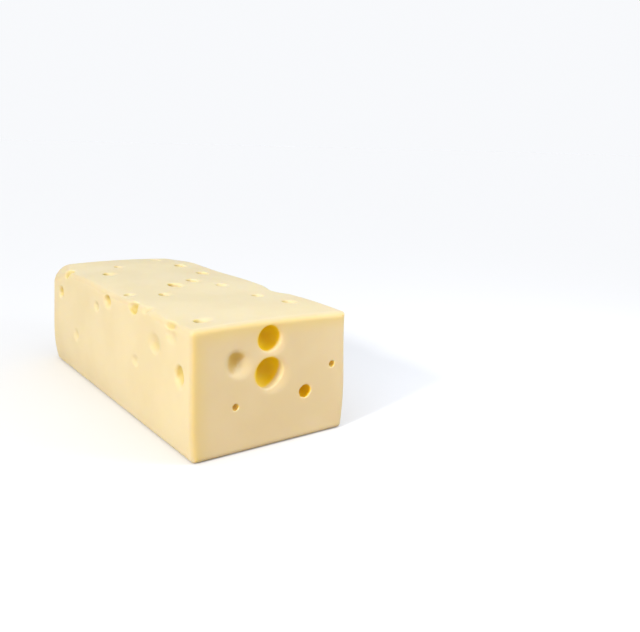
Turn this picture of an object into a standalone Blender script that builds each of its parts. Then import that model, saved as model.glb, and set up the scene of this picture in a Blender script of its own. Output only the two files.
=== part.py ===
"""A block of Swiss cheese, lying on its side, with one freshly cut end.

The block is a long loaf with a crowned top, soft long edges, a rounded far end and a flat
bottom. Its near end is a clean, flat cut. Round eyes of many sizes open into the cut, the
top and the sides, and shallow dents lie between them.

Metres, +Z up. The origin is at the middle of the bottom. The length runs along Y, and the
cut end faces -Y. The sizes below are in millimetres, and MM turns them into metres.
"""

import math
import random

import bmesh
import bpy
from mathutils import Matrix, Vector
from mathutils.bvhtree import BVHTree

MM = 0.001

# Driving sizes of the loaf
LENGTH = 297.5
WIDTH = 123.9
HEIGHT = 90.6
CROWN = 1.7
FAR_CROWN = 2.4
TILT = 0.6
LEAN = 1.6
NEAR_BULGE = 1.6
FAR_BULGE = 3.4
BULGE_LOW = 0.9
END_BULGE = 3.5
SLUMP = 3.5
TOP_WAVE = 0.72
SIDE_WAVE = 0.45
CUT_EDGE = 4.0
LEFT_EDGE = 3.8
RIGHT_EDGE = 1.8
FAR_EDGE = 17.0
CORNER_EDGE = 15.0
BOTTOM_EDGE = 3.0
THIN_EDGE = 0.8

# The long, slow waves of the skin are products of two sines. Their radians per millimetre
# and their starts: along the length and across the top, and along and up the sides.
TOP_WAVES = (0.06, 1.9, 0.03, -0.9)
SIDE_WAVES = (0.049, 2.1, 0.055, 0.4)

# Where changes begin and end, as shares: of the height for the waves, and of the length,
# from its middle, for the far end's swelling and for the growth of the long edges
WAVES_BEGIN = (0.06, 0.5)
SWELLING_BEGINS = (0.4, 0.5)
EDGES_GROW = (0.32, 0.48)

# How finely the loaf is divided
BODY_STATIONS = 20
CUT_STEPS = 2
FAR_STEPS = 4
ARC_STEPS = 3
TOP_STEPS = 8
SIDE_STEPS = 6
BOTTOM_STEPS = 5
DOME_RINGS = (0.62, 0.28)

# How finely an eye is divided: steps round its mouth and down its wall, by its width
EYE_STEPS = {6.0: (8, 2), 11.2: (10, 2), 15.6: (12, 3), 99.0: (18, 4)}

# An eye's lip, and how far its cutter stands out of the loaf
LIP_REACH = 0.45
LIP_DROP = 0.2
LIP_FOOT = 0.8
LIP_MOST = 0.35
LIFT = 2.5
FLARE = 2.0
UNEVEN = 0.03

CHEESE_COLOUR = (0.86, 0.72, 0.45, 1.0)
CHEESE_ROUGHNESS = 0.42

# The faces of the loaf, and which way an eye in each of them opens
CUT = "cut end"
TOP = "top"
LEFT = "left side"
RIGHT = "right side"
FAR = "far end"
BOTTOM = "bottom"
TOP_LEFT = "top left edge"
TOP_RIGHT = "top right edge"
OPENS = {
    CUT: Vector((0, -1, 0)),
    TOP: Vector((0, 0, 1)),
    LEFT: Vector((-1, 0, 0)),
    RIGHT: Vector((1, 0, 0)),
    FAR: Vector((0, 1, 0)),
    BOTTOM: Vector((0, 0, -1)),
    TOP_LEFT: Vector((-1, 0, 1)).normalized(),
    TOP_RIGHT: Vector((1, 0, 1)).normalized(),
}

# Eyes and dents that show: their face, their place on it, and their width, height, depth
# and lip. A place is measured from the loaf's left side, cut end and bottom: (x, z) on an
# end, (x, y) on the top, (y, z) on a side, and (y, shift over the edge) on an edge.
EYES = {
    "cut upper": (CUT, (58.7, 78.9), (17.9, 17.0, 12.5, 0.7)),
    "cut lower": (CUT, (58.4, 54.5), (21.6, 20.6, 14.5, 0.8)),
    "cut shallow": (CUT, (32.4, 65.4), (15.2, 14.8, 4.6, 1.8)),
    "cut small": (CUT, (88.7, 35.5), (9.2, 8.6, 8.5, 0.5)),
    "cut pinhole right": (CUT, (112.3, 52.2), (4.6, 4.4, 3.6, 0.4)),
    "cut pinhole left": (CUT, (31.7, 34.4), (4.4, 4.3, 3.6, 0.4)),
    "top back": (TOP, (25.0, 210.6), (7.4, 13.0, 4.8, 1.1)),
    "top far": (TOP, (45.2, 241.0), (5.4, 8.0, 3.0, 1.0)),
    "top corner": (TOP, (95.0, 268.0), (9.0, 9.0, 3.0, 1.8)),
    "top right rear": (TOP, (101.6, 227.6), (9.0, 12.5, 4.6, 1.4)),
    "top right middle": (TOP, (104.6, 185.8), (9.4, 14.0, 5.4, 1.3)),
    "top centre right": (TOP, (74.8, 147.2), (7.6, 13.0, 5.0, 1.1)),
    "top centre": (TOP, (53.2, 136.2), (8.2, 14.6, 5.8, 1.2)),
    "top centre left": (TOP, (30.8, 107.2), (6.0, 10.0, 3.8, 1.0)),
    "top faint": (TOP, (89.0, 120.8), (7.4, 9.5, 2.6, 1.6)),
    "top right": (TOP, (95.4, 74.3), (7.6, 10.5, 3.8, 1.5)),
    "top right front": (TOP, (102.0, 39.8), (8.2, 11.5, 4.6, 1.4)),
    "top left front": (TOP, (17.4, 19.3), (8.0, 10.5, 4.6, 1.1)),
    "top left": (TOP, (9.0, 124.4), (5.4, 7.6, 2.8, 1.0)),
    "edge chip": (TOP_LEFT, (248.0, 1.4), (13.0, 12.0, 4.2, 1.6)),
    "edge dent": (TOP_LEFT, (71.0, 3.0), (7.0, 7.0, 1.5, 1.6)),
    "edge hollow": (TOP_LEFT, (29.0, -1.0), (15.0, 5.6, 2.8, 1.4)),
    "edge fold": (TOP_LEFT, (26.5, -8.4), (9.5, 4.6, 1.1, 1.4)),
    "edge nick right": (TOP_RIGHT, (92.0, 0.5), (20.0, 8.0, 1.3, 1.6)),
    "left far": (LEFT, (262.3, 70.2), (11.5, 10.5, 3.8, 1.2)),
    "left upper rear": (LEFT, (143.6, 84.2), (12.5, 8.4, 4.8, 1.1)),
    "left upper": (TOP_LEFT, (92.8, -1.6), (15.5, 9.0, 5.0, 1.2)),
    "left faint rear": (LEFT, (168.6, 75.0), (8.0, 4.8, 1.5, 1.8)),
    "left faint low": (LEFT, (218.2, 39.6), (9.0, 7.6, 1.7, 1.8)),
    "left soft": (LEFT, (53.6, 71.0), (13.5, 8.6, 1.9, 2.4)),
    "left faint front": (LEFT, (88.0, 49.4), (8.5, 4.9, 1.1, 1.6)),
    "left front": (LEFT, (14.2, 58.2), (11.5, 13.0, 5.0, 1.3)),
}

# Shallow pans that some eyes run out into: how far a pan reaches past its eye, and its turn
# in degrees, in the two measures that give the eye's place. A pan's width, depth and lip are
# shares of its eye's width.
PANS = {
    "cut upper": (1.8, -40),
    "cut lower": (3.4, -35),
    "cut shallow": (3.2, -38),
    "top back": (2.8, -6),
    "top far": (2.8, -19),
    "top centre right": (2.8, -45),
    "top centre": (3.0, -45),
    "top centre left": (2.8, -21),
    "top right front": (2.8, -20),
    "top left front": (3.8, 9),
    "top left": (2.4, -44),
    "left upper rear": (1.5, -90),
    "left faint rear": (1.8, -90),
    "left soft": (2.8, -90),
    "left front": (2.6, -90),
}
PAN_WIDTH = 0.94
PAN_DEPTH = 0.19
PAN_LIP = 0.13

# Eyes of the faces that are turned away, which a seeded rule scatters: how many there are,
# the least and the most width, the deepest share of a width, the room kept to the face's
# border, the radius of the middle that is kept bare, and the seed
SCATTER = {
    RIGHT: (10, 7.0, 18.0, 0.40, 15.0, 0.0, 11),
    FAR: (4, 7.0, 16.0, 0.34, 18.0, 0.0, 23),
    BOTTOM: (5, 7.0, 12.0, 0.26, 20.0, 34.0, 37),
}
SCATTER_GAP = 8.0
SMALL_ARE_COMMON = 1.5
SHALLOWEST = 0.16
ROUNDNESS = (0.86, 1.1)
LIP_SHARE = 0.13
EYE_SEED = 5


def smooth_step(low, high, value):
    """0 below low, 1 above high, and a smooth rise between them."""
    t = min(1.0, max(0.0, (value - low) / (high - low)))
    return t * t * (3 - 2 * t)


def far_inset(y, radius):
    """How far a rounding of the far end has pulled a side in at y."""
    past = min(radius, max(0.0, y - (LENGTH / 2 - radius)))
    return radius - math.sqrt(radius * radius - past * past)


def cut_inset(y):
    """How far the fine rounding of the cut end has pulled a side in at y."""
    before = min(CUT_EDGE, max(0.0, CUT_EDGE - LENGTH / 2 - y))
    return CUT_EDGE - math.sqrt(CUT_EDGE * CUT_EDGE - before * before)


def top_radius(y, near_radius):
    """The radius of a long top edge at y, which grows towards the far end."""
    begins, ends = EDGES_GROW
    return near_radius + (FAR_EDGE - near_radius) * smooth_step(LENGTH * begins, LENGTH * ends, y)


def settle(x, y, z):
    """Moves a point of the plain loaf to where its crown, lean, bulges and waves put it."""
    across = x / (WIDTH / 2)
    up = z / HEIGHT
    swell = math.sin(math.pi * up * (1 + BULGE_LOW * (1 - up)))
    lift = smooth_step(*WAVES_BEGIN, up)
    away = smooth_step(LENGTH * SWELLING_BEGINS[0], LENGTH * SWELLING_BEGINS[1], y)
    along = smooth_step(-LENGTH / 2, LENGTH / 2, y)
    bulge = NEAR_BULGE + (FAR_BULGE - NEAR_BULGE) * along
    crown = CROWN + (FAR_CROWN - CROWN) * along
    turn, start, turn_across, start_across = TOP_WAVES
    wave_top = math.sin(y * turn + start) * math.cos(x * turn_across + start_across)
    turn, start, turn_up, start_up = SIDE_WAVES
    wave_side = math.sin(y * turn + start * across) * math.sin(z * turn_up + start_up)
    new_x = x + across * (bulge * swell + SIDE_WAVE * wave_side * lift)
    new_x += LEAN * up * max(0.0, across)
    new_y = y + away * (END_BULGE * swell * (1 - across * across) + SLUMP * (1 - up))
    new_z = z + up * (crown * (1 - across * across) - TILT * across + TOP_WAVE * wave_top * lift)
    return Vector((new_x, new_y, new_z))


def between(first, last, steps):
    """The points that divide the straight line from first to last into equal steps."""
    points = []
    for k in range(1, steps):
        t = k / steps
        points.append((first[0] + (last[0] - first[0]) * t, first[1] + (last[1] - first[1]) * t))
    return points


def section(y):
    """The loaf's outline across its length at y, as a ring of (x, z) points."""
    squeeze = cut_inset(y)
    half = WIDTH / 2 - far_inset(y, CORNER_EDGE) - squeeze
    top_pull = far_inset(y, FAR_EDGE) + squeeze
    bottom_pull = far_inset(y, BOTTOM_EDGE) + squeeze
    right = max(THIN_EDGE, top_radius(y, RIGHT_EDGE) - top_pull)
    left = max(THIN_EDGE, top_radius(y, LEFT_EDGE) - top_pull)
    lower = max(THIN_EDGE, BOTTOM_EDGE - bottom_pull)
    high = HEIGHT - top_pull
    low = bottom_pull + lower
    corners = [
        (half - lower, low, lower, -90, SIDE_STEPS),
        (half - right, high - right, right, 0, TOP_STEPS),
        (left - half, high - left, left, 90, SIDE_STEPS),
        (lower - half, low, lower, 180, BOTTOM_STEPS),
    ]
    arcs = []
    for x, z, radius, start, _ in corners:
        angles = [math.radians(start + 90 * k / ARC_STEPS) for k in range(ARC_STEPS + 1)]
        arcs.append([(x + radius * math.cos(a), z + radius * math.sin(a)) for a in angles])
    ring = []
    for k, corner in enumerate(corners):
        following = arcs[(k + 1) % len(arcs)]
        ring += arcs[k] + between(arcs[k][-1], following[0], corner[4])
    return ring


def stations():
    """The places along the length at which the loaf's outline is drawn."""
    near = -LENGTH / 2
    start = near + CUT_EDGE
    end = LENGTH / 2 - FAR_EDGE
    places = []
    for k in range(CUT_STEPS):
        places.append(start - CUT_EDGE * math.cos(math.pi / 2 * k / CUT_STEPS))
    for k in range(BODY_STATIONS):
        places.append(start + (end - start) * k / BODY_STATIONS)
    for k in range(FAR_STEPS + 1):
        places.append(end + FAR_EDGE * math.sin(math.pi / 2 * k / FAR_STEPS))
    return places


def loft_loaf():
    """The whole loaf before its eyes, as a bmesh in millimetres."""
    bm = bmesh.new()
    rings = []
    for y in stations():
        rings.append([bm.verts.new(settle(x, y, z)) for x, z in section(y)])
    end = section(LENGTH / 2)
    for share in DOME_RINGS:
        dome = [(x * share, HEIGHT / 2 + (z - HEIGHT / 2) * share) for x, z in end]
        rings.append([bm.verts.new(settle(x, LENGTH / 2, z)) for x, z in dome])
    for ring, following in zip(rings, rings[1:]):
        for k in range(len(ring)):
            after = (k + 1) % len(ring)
            bm.faces.new((ring[k], following[k], following[after], ring[after]))
    bm.faces.new(rings[0])
    bm.faces.new(list(reversed(rings[-1])))
    bmesh.ops.recalc_face_normals(bm, faces=bm.faces)
    for axis in (0, 1):
        places = [vertex.co[axis] for vertex in bm.verts]
        middle = (min(places) + max(places)) / 2
        for vertex in bm.verts:
            vertex.co[axis] -= middle
    return bm


def place_outside(face, first, second):
    """A point well outside the loaf, straight out from a place on one of its faces."""
    out = OPENS[face]
    left = -WIDTH / 2
    near = -LENGTH / 2
    if face in (CUT, FAR):
        place = Vector((left + first, out.y * LENGTH / 2, second))
    elif face in (TOP, BOTTOM):
        place = Vector((left + first, near + second, HEIGHT if face == TOP else 0.0))
    elif face in (LEFT, RIGHT):
        place = Vector((out.x * WIDTH / 2, near + first, second))
    else:
        over_the_edge = Vector((-out.x, 0.0, out.z)).normalized()
        corner = Vector((math.copysign(WIDTH / 2, out.x), near + first, HEIGHT))
        place = corner + over_the_edge * second
    return place + out * HEIGHT


def eye_profile(size, steps):
    """The radius and level of each ring of an eye's cutter, from above the loaf down.

    The wall is a part of a ball: less than half of one in a shallow eye, more in a deep one.
    """
    width, _, depth, lip = size
    mouth = width / 2
    ball = (mouth * mouth + depth * depth) / (2 * depth)
    middle = ball - depth
    foot = min(lip * LIP_FOOT, depth * LIP_MOST)
    rings = [
        (mouth + lip + LIFT * FLARE, LIFT),
        (mouth + lip, 0.0),
        (mouth + lip * LIP_REACH, -lip * LIP_DROP),
    ]
    start = math.acos((middle + foot) / ball)
    for k in range(steps):
        angle = start * (1 - k / steps)
        rings.append((ball * math.sin(angle), middle - ball * math.cos(angle)))
    return rings


def add_eye(bm, place, out, size, draw):
    """Adds the closed cutter of one eye to bm, opening along out at place."""
    width, height, depth, _ = size
    mouth_steps, wall_steps = EYE_STEPS[min(limit for limit in EYE_STEPS if width < limit)]
    across = Vector((1, 0, 0)) if abs(out.x) < 0.5 else Vector((0, 1, 0))
    frame = Matrix((across, out.cross(across), out)).transposed()
    turn = draw.uniform(0, math.tau)
    uneven = draw.uniform(0.3, 1.0) * UNEVEN
    rings = []
    for radius, level in eye_profile(size, wall_steps):
        ring = []
        for k in range(mouth_steps):
            angle = math.tau * k / mouth_steps
            reach = radius * (1 + uneven * (math.sin(2 * angle + turn) + math.sin(3 * angle - turn)))
            flat = (reach * math.cos(angle), reach * math.sin(angle) * height / width, level)
            ring.append(bm.verts.new(place + frame @ Vector(flat)))
        rings.append(ring)
    bottom = bm.verts.new(place - out * depth)
    for ring, following in zip(rings, rings[1:]):
        for k in range(mouth_steps):
            after = (k + 1) % mouth_steps
            bm.faces.new((ring[k], following[k], following[after], ring[after]))
    for k in range(mouth_steps):
        bm.faces.new((rings[-1][k], bottom, rings[-1][(k + 1) % mouth_steps]))
    bm.faces.new(rings[0])


def pan_beside(name):
    """The row of the shallow pan that the named eye runs out into."""
    face, spot, size = EYES[name]
    reach, turn = PANS[name]
    ahead = math.radians(turn)
    place = (spot[0] + reach * math.cos(ahead), spot[1] + reach * math.sin(ahead))
    width, height = size[0] * PAN_WIDTH, size[1] * PAN_WIDTH
    return face, place, (width, height, size[0] * PAN_DEPTH, size[0] * PAN_LIP)


def scatter_eyes(face):
    """Places and sizes for the eyes of a face that is turned away, by a seeded rule.

    They follow one another along the face's longer way, and keep clear of each other.
    """
    count, least, most, deepest, border, bare, seed = SCATTER[face]
    draw = random.Random(seed)
    span = {
        RIGHT: (LENGTH, HEIGHT),
        FAR: (WIDTH, HEIGHT),
        BOTTOM: (WIDTH, LENGTH),
    }[face]
    eyes = []
    while len(eyes) < count:
        shares = [(len(eyes) + draw.random()) / count, draw.random()]
        if span[1] > span[0]:
            shares.reverse()
        first = border + shares[0] * (span[0] - 2 * border)
        second = border + shares[1] * (span[1] - 2 * border)
        width = least + (most - least) * draw.random() ** SMALL_ARE_COMMON
        height = width * draw.uniform(*ROUNDNESS)
        depth = width * draw.uniform(SHALLOWEST, deepest)
        crowded = math.dist((first, second), (span[0] / 2, span[1] / 2)) < bare
        for _, spot, size in eyes:
            room = (width + size[0]) / 2 + SCATTER_GAP
            crowded = crowded or math.dist((first, second), spot) < room
        if not crowded:
            eyes.append((face, (first, second), (width, height, depth, width * LIP_SHARE)))
    return eyes


def make_cutter(loaf):
    """One object with the cutters of all the eyes, each on the loaf's own surface."""
    surface = BVHTree.FromBMesh(loaf)
    draw = random.Random(EYE_SEED)
    eyes = list(EYES.values()) + [pan_beside(name) for name in PANS]
    for face in SCATTER:
        eyes += scatter_eyes(face)
    bm = bmesh.new()
    for face, spot, size in eyes:
        start = place_outside(face, *spot)
        place, _, _, _ = surface.ray_cast(start, -OPENS[face])
        add_eye(bm, place, OPENS[face], size, draw)
    bmesh.ops.recalc_face_normals(bm, faces=bm.faces)
    cutter = make_object("eye_cutter", bm)
    cutter.hide_render = True
    cutter.display_type = "WIRE"
    return cutter


def make_object(name, bm):
    """Turns a bmesh in millimetres into an object in metres."""
    bmesh.ops.scale(bm, vec=(MM, MM, MM), verts=bm.verts)
    mesh = bpy.data.meshes.new(name)
    bm.to_mesh(mesh)
    bm.free()
    made = bpy.data.objects.new(name, mesh)
    bpy.context.scene.collection.objects.link(made)
    return made


def cheese_material():
    """Pale, waxy cheese."""
    material = bpy.data.materials.new("cheese")
    material.use_nodes = True
    shader = material.node_tree.nodes["Principled BSDF"]
    shader.inputs["Base Color"].default_value = CHEESE_COLOUR
    shader.inputs["Roughness"].default_value = CHEESE_ROUGHNESS
    return material


def main():
    for old in list(bpy.data.objects):
        bpy.data.objects.remove(old, do_unlink=True)
    bm = loft_loaf()
    cutter = make_cutter(bm)
    block = make_object("cheese_block", bm)
    block.data.materials.append(cheese_material())
    eyes = block.modifiers.new("eyes", "BOOLEAN")
    eyes.operation = "DIFFERENCE"
    eyes.solver = "EXACT"
    eyes.object = cutter
    eyes.use_self = True


main()
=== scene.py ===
"""A block of Swiss cheese with one cut end, lying on a pale floor.

The block's skin is laid on a formula: a loaf with rounded edges, less a rounded bubble for
each eye. Geometry Nodes set out the bubbles, a Boolean opens them in a plain loaf, and the
points of the remeshed result then slide onto the formula, more closely spaced where it bends.
Lengths are in metres, apart from the tables of eyes and pans, which are in millimetres.
"""

import math
import random

import bmesh
import bpy
import numpy as np
from bpy.props import FloatProperty, FloatVectorProperty, PointerProperty
from mathutils import Matrix, Vector


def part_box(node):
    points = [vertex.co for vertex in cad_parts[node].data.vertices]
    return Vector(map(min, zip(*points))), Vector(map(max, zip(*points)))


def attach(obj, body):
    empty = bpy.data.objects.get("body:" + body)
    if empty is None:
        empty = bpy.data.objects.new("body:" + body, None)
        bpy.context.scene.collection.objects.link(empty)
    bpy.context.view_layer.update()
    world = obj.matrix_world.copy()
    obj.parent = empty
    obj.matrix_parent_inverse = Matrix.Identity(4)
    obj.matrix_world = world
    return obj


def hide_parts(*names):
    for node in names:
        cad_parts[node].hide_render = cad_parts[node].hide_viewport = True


bl_info = {
    "name": "Swiss Cheese Block",
    "version": (1, 0, 0),
    "blender": (4, 5, 0),
    "location": "View3D > Sidebar > Cheese",
    "description": "Makes a block of Swiss cheese with eyes, and a studio to show it in",
    "category": "Add Mesh",
}

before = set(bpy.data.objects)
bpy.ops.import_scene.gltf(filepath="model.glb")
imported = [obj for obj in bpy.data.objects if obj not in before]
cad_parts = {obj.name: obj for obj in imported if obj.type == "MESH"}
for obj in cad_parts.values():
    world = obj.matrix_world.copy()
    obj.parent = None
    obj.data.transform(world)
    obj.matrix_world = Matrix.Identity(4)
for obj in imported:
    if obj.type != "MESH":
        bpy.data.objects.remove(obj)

NODE = "cheese_block"
PIECE = "swiss_block"
MM = 0.001
BOX_LOW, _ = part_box(NODE)

# The faces of the loaf, and which way an eye in each of them opens
CUT = "cut end"
TOP = "top"
LEFT = "left side"
RIGHT = "right side"
FAR = "far end"
BOTTOM = "bottom"
TOP_LEFT = "top left edge"
TOP_RIGHT = "top right edge"
OPENS = {
    CUT: Vector((0, -1, 0)),
    TOP: Vector((0, 0, 1)),
    LEFT: Vector((-1, 0, 0)),
    RIGHT: Vector((1, 0, 0)),
    FAR: Vector((0, 1, 0)),
    BOTTOM: Vector((0, 0, -1)),
    TOP_LEFT: Vector((-1, 0, 1)).normalized(),
    TOP_RIGHT: Vector((1, 0, 1)).normalized(),
}

# Eyes and dents that show, in millimetres: their face, their place on it, and their width,
# height, depth and lip. A place is measured from the loaf's left side, cut end and bottom:
# (x, z) on an end, (x, y) on the top, (y, z) on a side, (y, shift over the edge) on an edge.
EYES = {
    "cut upper": (CUT, (58.7, 78.9), (17.9, 17.0, 12.5, 0.7)),
    "cut lower": (CUT, (58.4, 54.5), (21.6, 20.6, 14.5, 0.8)),
    "cut shallow": (CUT, (32.4, 65.4), (15.2, 14.8, 4.6, 1.8)),
    "cut small": (CUT, (88.7, 35.5), (9.2, 8.6, 8.5, 0.5)),
    "cut pinhole right": (CUT, (112.3, 52.2), (4.6, 4.4, 3.6, 0.4)),
    "cut pinhole left": (CUT, (31.7, 34.4), (4.4, 4.3, 3.6, 0.4)),
    "top back": (TOP, (25.0, 210.6), (7.4, 13.0, 4.8, 1.1)),
    "top far": (TOP, (45.2, 241.0), (5.4, 8.0, 3.0, 1.0)),
    "top corner": (TOP, (95.0, 268.0), (9.0, 9.0, 3.0, 1.8)),
    "top right rear": (TOP, (101.6, 227.6), (9.0, 12.5, 4.6, 1.4)),
    "top right middle": (TOP, (104.6, 185.8), (9.4, 14.0, 5.4, 1.3)),
    "top centre right": (TOP, (74.8, 147.2), (7.6, 13.0, 5.0, 1.1)),
    "top centre": (TOP, (53.2, 136.2), (8.2, 14.6, 5.8, 1.2)),
    "top centre left": (TOP, (30.8, 107.2), (6.0, 10.0, 3.8, 1.0)),
    "top faint": (TOP, (89.0, 120.8), (7.4, 9.5, 2.6, 1.6)),
    "top right": (TOP, (95.4, 74.3), (7.6, 10.5, 3.8, 1.5)),
    "top right front": (TOP, (102.0, 39.8), (8.2, 11.5, 4.6, 1.4)),
    "top left front": (TOP, (17.4, 19.3), (8.0, 10.5, 4.6, 1.1)),
    "top left": (TOP, (9.0, 124.4), (5.4, 7.6, 2.8, 1.0)),
    "edge chip": (TOP_LEFT, (248.0, 1.4), (13.0, 12.0, 4.2, 1.6)),
    "edge dent": (TOP_LEFT, (71.0, 3.0), (7.0, 7.0, 1.5, 1.6)),
    "edge hollow": (TOP_LEFT, (29.0, -1.0), (15.0, 5.6, 2.8, 1.4)),
    "edge fold": (TOP_LEFT, (26.5, -8.4), (9.5, 4.6, 1.1, 1.4)),
    "edge nick right": (TOP_RIGHT, (92.0, 0.5), (20.0, 8.0, 1.3, 1.6)),
    "left far": (LEFT, (262.3, 70.2), (11.5, 10.5, 3.8, 1.2)),
    "left upper rear": (LEFT, (143.6, 84.2), (12.5, 8.4, 4.8, 1.1)),
    "left upper": (TOP_LEFT, (92.8, -1.6), (15.5, 9.0, 5.0, 1.2)),
    "left faint rear": (LEFT, (168.6, 75.0), (8.0, 4.8, 1.5, 1.8)),
    "left faint low": (LEFT, (218.2, 39.6), (9.0, 7.6, 1.7, 1.8)),
    "left soft": (LEFT, (53.6, 71.0), (13.5, 8.6, 1.9, 2.4)),
    "left faint front": (LEFT, (88.0, 49.4), (8.5, 4.9, 1.1, 1.6)),
    "left front": (LEFT, (14.2, 58.2), (11.5, 13.0, 5.0, 1.3)),
}

# Shallow pans that some eyes run out into: how far a pan reaches past its eye, and its turn
# in degrees, in the two measures that give the eye's place. A pan's width, depth and lip are
# shares of its eye's width.
PANS = {
    "cut upper": (1.8, -40),
    "cut lower": (3.4, -35),
    "cut shallow": (3.2, -38),
    "top back": (2.8, -6),
    "top far": (2.8, -19),
    "top centre right": (2.8, -45),
    "top centre": (3.0, -45),
    "top centre left": (2.8, -21),
    "top right front": (2.8, -20),
    "top left front": (3.8, 9),
    "top left": (2.4, -44),
    "left upper rear": (1.5, -90),
    "left faint rear": (1.8, -90),
    "left soft": (2.8, -90),
    "left front": (2.6, -90),
}
PAN_WIDTH = 0.94
PAN_DEPTH = 0.19
PAN_LIP = 0.13

# Eyes of the faces that are turned away, which a seeded rule scatters: how many there are,
# the least and the most width, the deepest share of a width, the room kept to the face's
# border, the radius of the middle that is kept bare, and the seed
SCATTER = {
    RIGHT: (10, 7.0, 18.0, 0.40, 15.0, 0.0, 11),
    FAR: (4, 7.0, 16.0, 0.34, 18.0, 0.0, 23),
    BOTTOM: (5, 7.0, 12.0, 0.26, 20.0, 34.0, 37),
}

# The gap between those eyes, how strongly small ones prevail, and their least depth, their
# range of heights and their lip, as shares of their width
SCATTER_GAP = 8.0
SMALL_ARE_COMMON = 1.5
SHALLOWEST = 0.16
ROUNDNESS = (0.86, 1.1)
LIP_SHARE = 0.13

# The form of the loaf, as in the part's source: how low the sides bulge, its waves as radians
# per metre and starts, along the length and across the top, and along and up the sides, and
# the shares of the height or of the length at which its changes begin and end
BULGE_LOW = 0.9
TOP_WAVES = (60, 1.9, 30, -0.9)
SIDE_WAVES = (49, 2.1, 55, 0.4)
WAVES_BEGIN = (0.06, 0.5)
SWELLING_BEGINS = (0.4, 0.5)
EDGES_GROW = (0.32, 0.48)

# The lean makes the block wider at its right, so its loaf stands this far to the left
LOAF_ASIDE = -0.00037

# How much wider a lip gets than its row says, at most, the shallower its eye is, and the
# range and the seed of what draws each eye away from a ball
SOFT_LIP = 0.8
STRAY_SHARE = (0.3, 1.0)
EYE_SEED = 5

# The first shape: how high its far edges that are cut back reach at least, the steps of their
# bevel and of a ball, and the least ball in it, as a share of the spacing of the points
CUT_BACK_FROM = 0.01
BEVEL_STEPS = 4
BALL_STEPS = 3
LEAST_BALL = 2.2

# How the skin is laid: the slides that find the loaf's surface, the length over which its
# slope is measured, the least slope and length that a slide divides by, the farthest that a
# point slides at once, and the turns and lengths of the edges that each pass divides
SURFACE_ROUNDS = 30
PROBE = 2e-5
LEAST_SLOPE = 0.05
LEAST_LENGTH = 1e-9
LONGEST_SLIDE = 0.0012
FINER = ((math.radians(14), 0.0011), (math.radians(16), 0.0006))

# How much painted shade an eye takes, the depths between which that painted shade sets in, and how
# deep an eye has to be for it, both as shares of its width
TOP_SHARE = 0.95
SIDE_SHARE = 0.82
EDGE_SHARE = 0.2
GOLD_DEPTH = (0.0, 0.11)
TAN_DEPTH = (0.0, 0.13)
TOP_DEPTH = (-0.1, 0.12)
SIDE_DEPTH = (0.0, 0.2)
DEEP_TOP = (0.15, 0.5)
DEEP_SIDE = (0.1, 0.4)

# How far from an eye's ball its painted shade reaches, in radii, and where the painted shade of an eye
# of the top fades towards its lit right wall, as a share of its width
COLOUR_REACH = 1.2
TOP_COLOUR_REACH = 1.4
TOP_RIGHT_FADE = (0.5, -0.2)

# An eye of the cut end gets golden painted shade if it is deeper than DEEP of its width. The edge of
# that shade slopes down towards the eye's pan, by PAN_SLOPE for each metre that the pan reaches, like
# a shadow's edge, so the wall by the pan stays pale as if lit. A shallow eye gets brownish painted
# shade up to TAN_END of its width towards its pan, and that shade fades at its left.
DEEP = 0.5
PAN_SLOPE = 147.0
TAN_END = (0.33, 0.19)
TAN_LEFT = (-0.54, -0.12)

# The width of the eyes that get all their golden painted shade, and of the band of painted glow on the
# cut end along its left side and top
ALL_GOLD = 0.008
RIM_WIDTH = 0.016

# How far the skin has to face the cut's way to be cut, and how far it has to turn from the faces on
# both sides to be an edge, which takes painted shade
CUT_FACING = (0.5, 0.95)
EDGE_TURN = (0.05, 0.45)

# The cheese itself: the sizes of its pale clouds, of its swells and of its grain, the height
# and the strength of the last two and the grain's part in them, the levels of noise between
# which a cloud sets in, its tint, and how far each colour travels in the cheese
CLOUD_SIZE = 0.05
SWELL_SIZE = 0.009
GRAIN_SIZE = 0.0035
RELIEF = 0.00012
RELIEF_STRENGTH = 0.5
GRAIN_PART = 0.25
CLOUDS_BEGIN = (0.35, 0.65)
CLOUD_TINT = (0.965, 0.955, 0.92)
TRAVEL = (0.8, 0.7, 0.4)

# How much rougher the grain, the cut and the golden painted shade of the eyes make the skin, and how
# it bends light
GRAIN_ROUGHER = 0.12
CUT_ROUGHER = 0.06
GOLD_ROUGHER = 0.2
CHEESE_IOR = 1.44


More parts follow.
